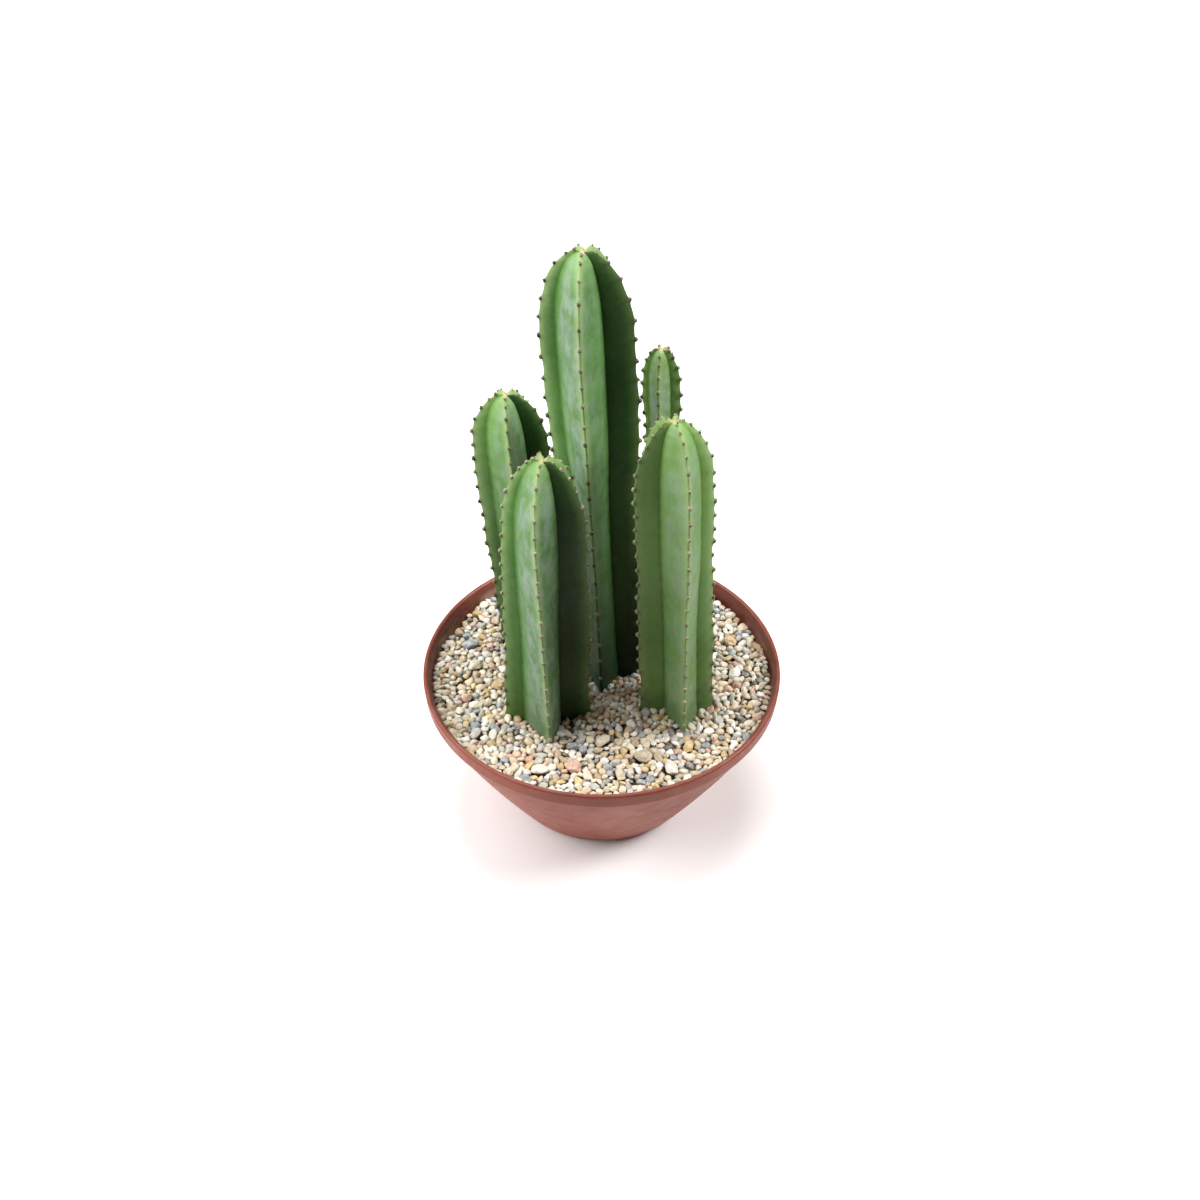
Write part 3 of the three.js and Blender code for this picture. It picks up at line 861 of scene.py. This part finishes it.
felt, horn = felt_finish(), spine_finish()
pad_points, pad_faces = ball(2)
for stem in STEMS:
    pads, ages, spines, lengths = [], [], [], []
    cushion_ages = CUSHION_AGES[stem.split("_")[1]]
    for seat, out, grow, below_tip in stem_seats[stem]:
        across = np.cross(grow, out)
        turned_to = np.stack([across, grow, out])
        fresh = 1 - ease(below_tip, *FRESH_SPAN)
        size = CUSHION_HALF_SIZE * rng.uniform(*CUSHION_VARIETY) * (1 - FRESH_SHRINK * fresh)
        lumps = rng.uniform(*FELT_LUMPS, (len(pad_points), 1))
        pads.append((seat + (pad_points * lumps * size) @ turned_to, pad_faces))
        ages.append(np.full(len(pad_points), rng.uniform(*cushion_ages)))
        for _ in range(rng.integers(*SPINE_COUNT)):
            tilt = math.radians(rng.uniform(*SPINE_SPREAD))
            turn = rng.uniform(0, 2 * math.pi)
            aside = math.cos(turn) * across + math.sin(turn) * grow
            way = math.cos(tilt) * out + math.sin(tilt) * aside
            length = rng.uniform(*SPINE_LENGTH)
            droop = rng.normal(0, SPINE_DROOP, 3)
            spines.append(spine_shape(seat + SPINE_LIFT * out, way, length, droop))
            lengths.append([*[0] * SPINE_SIDES, *[0.4] * SPINE_SIDES, *[0.75] * SPINE_SIDES, 0, 1])
    readings = {"age": np.concatenate(ages)}
    make_piece(stem + "_cushions", *heap(pads), felt, "stem_flesh", stem, readings=readings)
    readings = {"spine_length": np.concatenate(lengths)}
    make_piece(stem + "_spines", *heap(spines), horn, "stem_flesh", stem, readings=readings)


# Gravel bed
# A dark sheet between and under the dressing's stones, coloured as painted shade for the gaps
# between them.  It is a lumpy sheet just below the top of the CAD gravel layer, and closed down
# to the soil.
BED_SINK = 0.0034
BED_RINGS = 84
BED_STEPS = 300
BED_LUMPS = 0.0011
LUMP_SIZES = (0.0031, 0.0014)
BED_EDGE_DEPTH = 0.01
BED_CLEARANCE = 0.0006
GRAVEL_SWELL = 0.006
PROBE_RISE = 0.01

gravel_low, gravel_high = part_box("gravel_layer")
BED_RADIUS = wall_radius(GRAVEL_LEVEL - 0.003) - WALL_THICKNESS - BED_CLEARANCE
gravel_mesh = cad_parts["gravel_layer"].data
gravel_surface = BVHTree.FromPolygons(
    [vertex.co[:] for vertex in gravel_mesh.vertices],
    [face.vertices[:] for face in gravel_mesh.polygons],
)


def gravel_height(x, y):
    """The gravel's top under a point, or its usual level where a stem or stone stands in it."""
    hit = gravel_surface.ray_cast(Vector((x, y, gravel_high.z + PROBE_RISE)), Vector((0, 0, -1)))[0]
    return hit.z if hit is not None and hit.z > gravel_high.z - GRAVEL_SWELL else GRAVEL_LEVEL


def bed_shape():
    spread = np.linspace(1, 0, BED_RINGS, endpoint=False)
    foot_radius = wall_radius(gravel_low.z) - WALL_THICKNESS - BED_CLEARANCE
    profile = [(0, gravel_low.z), (foot_radius, gravel_low.z)]
    profile += [(BED_RADIUS * share, GRAVEL_LEVEL - BED_SINK) for share in spread]
    profile.append((0, GRAVEL_LEVEL - BED_SINK))
    points, faces = lathe(profile, BED_STEPS)
    for point in points:
        if point[2] < GRAVEL_LEVEL - BED_EDGE_DEPTH:
            continue
        place = Vector((point[0], point[1], 0))
        coarse, fine = (noise.noise(place / size) for size in LUMP_SIZES)
        point[2] = gravel_height(point[0], point[1]) - BED_SINK + BED_LUMPS * (coarse + 0.6 * fine)
    return points, faces


gap_shade_finish, tree, surface = new_finish("dark gap shade", roughness=0.9)
# Painted shade: the sheet is coloured dark brown so that the gaps between the stones look shaded.
damp = patchy(tree, 0.007, detail=6.0)
grit = blend(tree, damp, "2c2018", "54432f")
grained = grainy(tree, grit, "a8977c", 0.8, 0.0018)
dress(tree, surface, grained["Colour"], grained["Height"], 0.0009)
make_piece("gravel_bed", *bed_shape(), gap_shade_finish, "gravel", "gravel_layer")


# Gravel stones
# River gravel, broken and worn round, screened to 3 to 8 mm and mixed from several minerals.  It
# lies loose in two layers, packed between the stems, the bowl's wall and the larger pebbles.
MINERALS = {
    "cream": (0.27, "e4dac6", "c2ae8f", 0.3),
    "beige": (0.21, "d2c3a9", "a58d6e", 0.35),
    "white": (0.17, "eeebe4", "c9c2b6", 0.2),
    "straw": (0.09, "d3b781", "a58452", 0.35),
    "pale_grey": (0.12, "c2c0bb", "95918a", 0.35),
    "blue_grey": (0.05, "9ea5ab", "747a7f", 0.4),
    "rosy": (0.06, "d6b09a", "b08069", 0.35),
    "dark": (0.03, "7a7067", "4a443e", 0.5),
}
STONE_SIZES = [(0.42, 0.0018, 0.0024), (0.42, 0.0024, 0.0032), (0.16, 0.0032, 0.0042)]
TOP_STONES = 1500
UNDER_STONES = 1000
LOOSE_STONES = 70
UNDER_DROP = 0.0026
LOOSE_RISE = 0.0019
STONE_TILT = 22
STONE_LENGTHENED = (1.02, 1.3)
STONE_FLATNESS = (0.55, 0.85)
STONE_GROWTH = 1.06
STONE_SUNK = 0.45
STONE_UNEVENNESS = 0.0003
STONE_PUSH = 0.42
STEM_CLEARANCE = 0.75
BASE_SHAPES = 18
SPREADING_ROUNDS = 46
PEBBLE_ROOM = 0.3526
WALL_LIMIT = wall_radius(GRAVEL_LEVEL - 0.001) - WALL_THICKNESS - 0.0003

pebble_names = sorted(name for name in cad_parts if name.startswith("stone_"))
pebble_boxes = [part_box(name) for name in pebble_names]
pebble_spots = np.array([((low + high) / 2)[:2] for low, high in pebble_boxes])
pebble_reach = np.array([PEBBLE_ROOM * (high - low).xy.length for low, high in pebble_boxes])


def stone_finish(name, main, second, fleck):
    """Worn stone: toned per stone, clouded and veined, with flecks, pits and pale dust on top."""
    finish, tree, surface = new_finish(name + " stone")
    tone, warmth = reading(tree, "tone"), reading(tree, "warmth")
    rock = blend(tree, warmth, main, second)
    clouded = patchy(tree, 0.0026, 0.35, 0.7, 0.0, 0.45, detail=6.0, distortion=0.6)
    rock = blend(tree, clouded, rock, second)
    veined = patchy(tree, 0.004, 0.6, 0.66, 0.0, 0.4, detail=2.0, distortion=3.0, stretch=(1, 0.35, 1))
    rock = blend(tree, veined, rock, "e6e0d4")
    shade = add(tree, "CombineColor", {0: tone, 1: tone, 2: tone}).outputs[0]
    rock = blend(tree, 1.0, rock, shade, "MULTIPLY")
    grained = grainy(tree, rock, second, fleck, 0.0007)
    dusty = dust_over(tree, grained["Colour"], "e0d6c2", 0.35, 0.003)
    worn = patchy(tree, 0.003, to_low=0.55, to_high=0.85, detail=4.0)
    wire(tree, surface.inputs["Roughness"], worn)
    dress(tree, surface, dusty["Colour"], grained["Height"], 0.00025, 0.8)
    return finish


def broken(points, rng, cuts, depth, roughness):
    """A ball's points cut back to a few random flats and made slightly uneven."""
    points = points.copy()
    for _ in range(cuts):
        way = rng.normal(size=3)
        way = way / np.linalg.norm(way)
        over = np.maximum(0, points @ way - rng.uniform(*depth))
        points -= over[:, None] * way
    start = Vector(rng.uniform(0, 50, 3))
    swell = [1 + roughness * noise.noise(Vector(point) * 1.7 + start) for point in points]
    return points * np.array(swell)[:, None]


def spread_out(spots, reach):
    """Nudges round stones apart until they lie side by side, clear of wall, stems and pebbles."""
    for _ in range(SPREADING_ROUNDS):
        gap = spots[:, None, :] - spots[None, :, :]
        far = np.maximum(np.sqrt((gap**2).sum(axis=-1)), 1e-7)
        push = np.maximum(0, reach[:, None] + reach[None, :] - far)
        np.fill_diagonal(push, 0)
        spots = spots + STONE_PUSH * (gap * (push / far)[:, :, None]).sum(axis=1)
        for centre, size in zip(pebble_spots, pebble_reach):
            off = spots - centre
            far = np.maximum(np.linalg.norm(off, axis=1), 1e-7)
            spots += off * (np.maximum(0, size + reach - far) / far)[:, None]
        for outline in stem_feet.values():
            centre = outline.mean(axis=0)
            edge = outline - centre
            turn = np.arctan2(edge[:, 1], edge[:, 0])
            order = np.argsort(turn)
            off = spots - centre
            far = np.maximum(np.linalg.norm(off, axis=1), 1e-7)
            edges = (turn[order], np.linalg.norm(edge, axis=1)[order])
            stem_edge = np.interp(np.arctan2(off[:, 1], off[:, 0]), *edges, period=2 * math.pi)
            inside = np.maximum(0, stem_edge + STEM_CLEARANCE * reach - far)
            spots += off * (inside / far)[:, None]
        far = np.maximum(np.linalg.norm(spots, axis=1), 1e-7)
        spots *= np.minimum(1, (WALL_LIMIT - reach) / far)[:, None]
    return spots


def scattered(count, rng):
    """Random places over the gravel, and a footprint radius for each stone."""
    radius = WALL_LIMIT * np.sqrt(rng.random(count))
    turn = rng.uniform(0, 2 * math.pi, count)
    kind = rng.choice(len(STONE_SIZES), count, p=[share for share, _, _ in STONE_SIZES])
    low, high = np.array([size[1:] for size in STONE_SIZES])[kind].T
    spots = np.stack([radius * np.cos(turn), radius * np.sin(turn)], axis=-1).astype(np.float32)
    return spots, rng.uniform(low, high).astype(np.float32)


def turned_about(tilt, heading, roll):
    """A turn matrix: rolled about X, tilted about Y, then headed about Z."""
    (cr, sr), (ct, st), (ch, sh) = ((math.cos(a), math.sin(a)) for a in (roll, tilt, heading))
    about_x = np.array([[1, 0, 0], [0, cr, -sr], [0, sr, cr]])
    about_y = np.array([[ct, 0, st], [0, 1, 0], [-st, 0, ct]])
    about_z = np.array([[ch, -sh, 0], [sh, ch, 0], [0, 0, 1]])
    return about_z @ about_y @ about_x


def lay_stone(shape, spot, reach, rise, rng):
    """One stone's points, flat-lying, longer than wide, and sunk among its neighbours."""
    longer = rng.uniform(*STONE_LENGTHENED)
    half = np.array([reach * longer, reach / longer, reach * rng.uniform(*STONE_FLATNESS)])
    half *= STONE_GROWTH
    tilt, roll = np.radians(rng.normal(0, STONE_TILT / 2, 2))
    turn = turned_about(tilt, rng.uniform(0, 2 * math.pi), roll)
    height = gravel_height(*spot.tolist()) + rise - STONE_SUNK * half[2]
    return (shape * half) @ turn.T + np.array([*spot, height + rng.normal(0, STONE_UNEVENNESS)])


fine_ball, rough_ball = ball(3), ball(2)
fine_shapes = [broken(fine_ball[0], rng, 11, (0.62, 0.92), 0.14) for _ in range(BASE_SHAPES)]
rough_shapes = [broken(rough_ball[0], rng, 9, (0.66, 0.92), 0.14) for _ in range(BASE_SHAPES)]
mineral_names = list(MINERALS)
mineral_shares = [MINERALS[mineral][0] for mineral in mineral_names]
stone_heaps = {mineral: [] for mineral in mineral_names}
stone_tones = {mineral: [] for mineral in mineral_names}
layers = [
    (TOP_STONES, 0, fine_shapes, fine_ball[1]),
    (UNDER_STONES, -UNDER_DROP, rough_shapes, rough_ball[1]),
    (LOOSE_STONES, LOOSE_RISE, fine_shapes, fine_ball[1]),
]
for count, rise, shapes, faces in layers:
    spots, reach = scattered(count, rng)
    spots = spread_out(spots, reach)
    for spot, size in zip(spots, reach):
        mineral = mineral_names[rng.choice(len(mineral_names), p=mineral_shares)]
        shape = shapes[rng.integers(BASE_SHAPES)]
        stone_heaps[mineral].append((lay_stone(shape, spot, float(size), rise, rng), faces))
        tone, warmth = rng.uniform(0.78, 1.05), rng.random() ** 2
        stone_tones[mineral].append(np.tile([[tone, warmth]], (len(shape), 1)))
stone_finishes = {}
for mineral, (_, main, second, fleck) in MINERALS.items():
    finish = stone_finishes[mineral] = stone_finish(mineral, main, second, fleck)
    shape = heap(stone_heaps[mineral])
    tones = dict(zip(("tone", "warmth"), np.vstack(stone_tones[mineral]).T))
    make_piece("gravel_" + mineral, *shape, finish, "gravel", "gravel_layer", readings=tones)


# Larger pebbles
# The biggest stones of the dressing, 10 to 14 mm long, sunk to their waists in the gravel.  Each
# is cut from the CAD stone's own box, broken flat on some sides and worn round on the others.
PEBBLE_MINERALS = ["cream", "straw", "blue_grey", "white", "beige", "pale_grey", "rosy", "cream"]
PEBBLE_GROWTH = 1.04

pebble_ball = ball(4)
for index, (name, (low, high)) in enumerate(zip(pebble_names, pebble_boxes)):
    cad_points = np.array([vertex.co[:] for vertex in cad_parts[name].data.vertices])
    middle = cad_points.mean(axis=0)
    axes = np.linalg.svd(cad_points - middle, full_matrices=False)[2]
    half = np.abs((cad_points - middle) @ axes.T).max(axis=0) * PEBBLE_GROWTH
    shape = broken(pebble_ball[0], rng, 9, (0.66, 0.94), 0.2)
    points = middle + (shape * half) @ axes
    faces = pebble_ball[1] if np.linalg.det(axes) > 0 else pebble_ball[1][:, ::-1]
    finish = stone_finishes[PEBBLE_MINERALS[index % len(PEBBLE_MINERALS)]]
    tones = {"tone": np.full(len(points), rng.uniform(0.8, 1.0))}
    tones["warmth"] = np.full(len(points), rng.uniform(0, 0.5))
    label = name.replace("stone", "pebble")
    make_piece(label, points, faces, finish, "large_stone", name, readings=tones)


# Floor and light
# A pale matt studio floor, a very large soft lamp on the left, a small one on the right and one
# overhead, slightly behind.  Only the floor close to the bowl throws light back, as a bright card
# would; further out it is dark to everything but the camera, so that shaded flanks stay deep.
FLOOR_SIZE = 40
# Azimuth and elevation in degrees, distance and size in metres, and power in watts
LAMPS = {
    "key": (-86, 36, 1.7, 2.2, 66),
    "top": (180, 76, 1.7, 1.1, 33),
    "right": (93, 36, 2.0, 0.8, 44),
}
CARD_REACH = (0.2, 0.36)
GLOW_REACH = (0.5, 2.4)
ROOM_LIGHT = 0.01
BACKDROP_LIGHT = 1.1

half = FLOOR_SIZE / 2
floor_mesh = bpy.data.meshes.new("floor")
floor_corners = [(-half, -half, 0), (half, -half, 0), (half, half, 0), (-half, half, 0)]
floor_mesh.from_pydata(floor_corners, [], [(0, 1, 2, 3)])
floor = bpy.data.objects.new("floor", floor_mesh)
scene.collection.objects.link(floor)
floor_finish, tree, surface = new_finish("matt white floor", roughness=0.85)
floor_tone = patchy(tree, 0.4, detail=4.0)
floor_white = blend(tree, floor_tone, "f5f5f4", "f8f8f7")
seen_straight = add(tree, "LightPath").outputs["Is Camera Ray"]
place = add(tree, "NewGeometry").outputs["Position"]
off_centre = add(tree, "VectorMath", {0: place}, operation="LENGTH")
card = between(tree, off_centre.outputs["Value"], *CARD_REACH)
card_tone = blend(tree, card, "f2efea", "4a4846")
floor_white = blend(tree, seen_straight, card_tone, floor_white)
wire(tree, surface.inputs["Base Color"], floor_white)
surface.inputs["Specular IOR Level"].default_value = 0.1
far_glow = between(tree, off_centre.outputs["Value"], *GLOW_REACH, 0.0, BACKDROP_LIGHT)
wire(tree, surface.inputs["Emission Color"], floor_white)
wire(tree, surface.inputs["Emission Strength"], times(tree, seen_straight, far_glow))
floor_mesh.materials.append(floor_finish)


def hang_lamp(name, azimuth, elevation, distance, size, power):
    """A square soft lamp, aimed at the middle of the plant."""
    lamp = bpy.data.objects.new(name, bpy.data.lights.new(name, "AREA"))
    scene.collection.objects.link(lamp)
    lamp.data.size = size
    lamp.data.energy = power
    turn, lift = math.radians(azimuth), math.radians(elevation)
    way = Vector((math.sin(turn) * math.cos(lift), -math.cos(turn) * math.cos(lift), math.sin(lift)))
    middle = (cad_box[0] + cad_box[1]) / 2
    lamp.location = middle + distance * way
    lamp.rotation_euler = (-way).to_track_quat("-Z", "Y").to_euler()


for lamp_name, lamp_place in LAMPS.items():
    hang_lamp(lamp_name, *lamp_place)
scene.world = bpy.data.worlds.new("room")
scene.world.use_nodes = True
room = scene.world.node_tree
sky = room.nodes["Background"]
sky.inputs["Color"].default_value = colour("f6f7f8")
seen = add(room, "LightPath").outputs["Is Camera Ray"]
wire(room, sky.inputs["Strength"], between(room, seen, 0.0, 1.0, ROOM_LIGHT, BACKDROP_LIGHT))
scene.view_settings.view_transform = "Standard"
